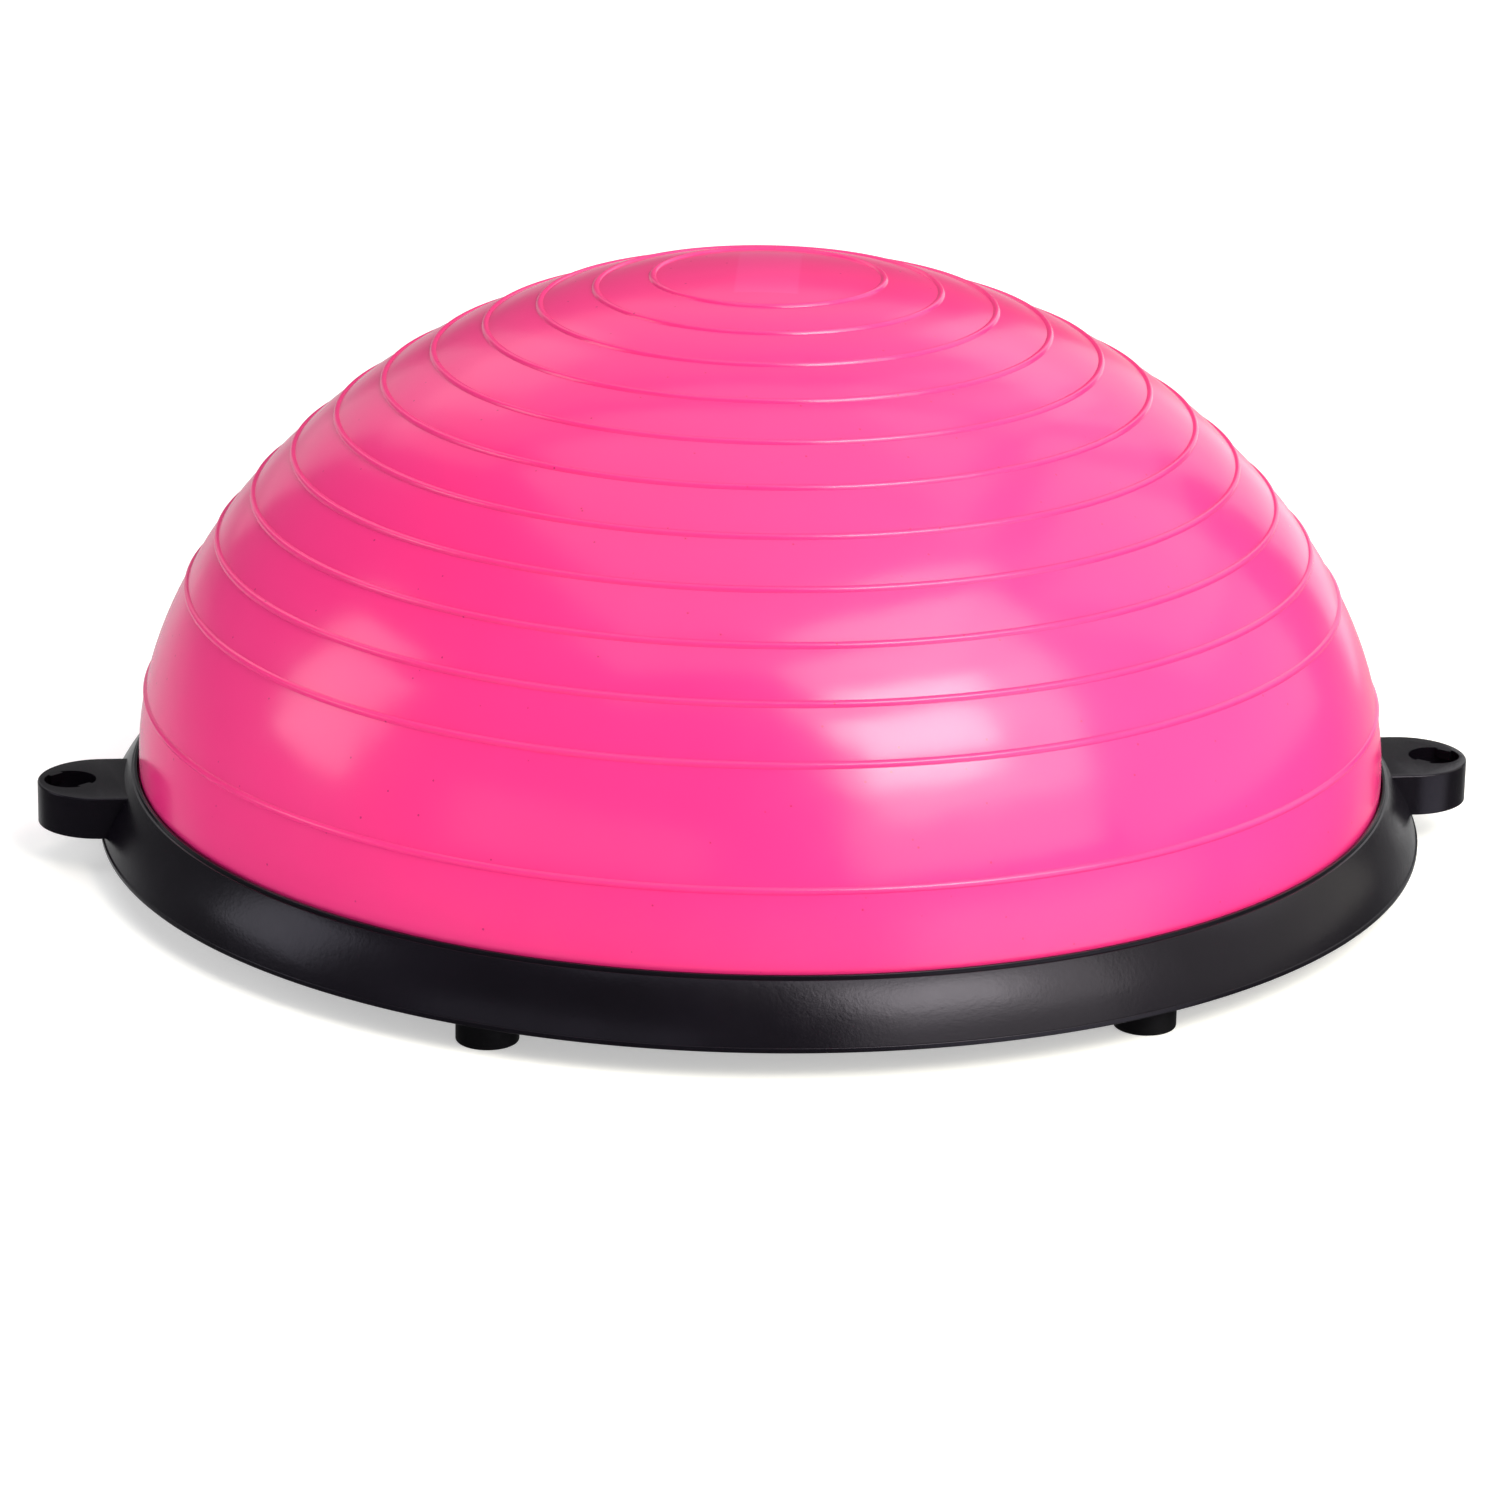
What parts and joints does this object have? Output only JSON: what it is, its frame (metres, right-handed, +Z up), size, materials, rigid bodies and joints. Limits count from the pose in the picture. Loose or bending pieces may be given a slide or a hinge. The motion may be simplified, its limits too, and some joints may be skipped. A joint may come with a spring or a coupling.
{
  "type": "balance dome trainer",
  "caption": "Inflatable ridged half-ball clamped to a flat round platform by a sloped ring with two band lugs, on rubber feet, with a winged plug in its valve underneath.",
  "frame": {"origin": "on the floor under the dome's axis, in the plane of the soles of the feet", "axes": "+Z up along the dome's axis; +X towards one band lug, -X towards the other"},
  "size_m": [0.6334, 0.5798, 0.2615],
  "materials": {
    "dome_pvc": "satin-gloss pink PVC skin with a very fine orange peel",
    "seat_pvc": "smooth soft PVC",
    "plug_plastic": "glossy moulded yellow plastic",
    "ring_plastic": "satin black moulded plastic with a fine spark texture",
    "platform_plastic": "matt black moulded plastic with grip rings",
    "foot_rubber": "matt black rubber",
    "screw_steel": "zinc-plated steel"
  },
  "bodies": {
    "trainer": {"dome_bladder": "dome_pvc", "valve_seat": "seat_pvc", "clamp_ring": "ring_plastic", "base_platform": "platform_plastic", "rim_screws": "screw_steel", "foot_1": "foot_rubber", "foot_2": "foot_rubber", "foot_3": "foot_rubber", "foot_4": "foot_rubber", "foot_5": "foot_rubber", "foot_6": "foot_rubber", "foot_screws": "screw_steel"},
    "plug": {"valve_plug": "plug_plastic"}
  },
  "joints": [
    {"name": "plug_pull", "type": "slide", "parent": "trainer", "child": "plug", "axis": [0, 0, -1], "range_m": [0, 0.036]}
  ]
}
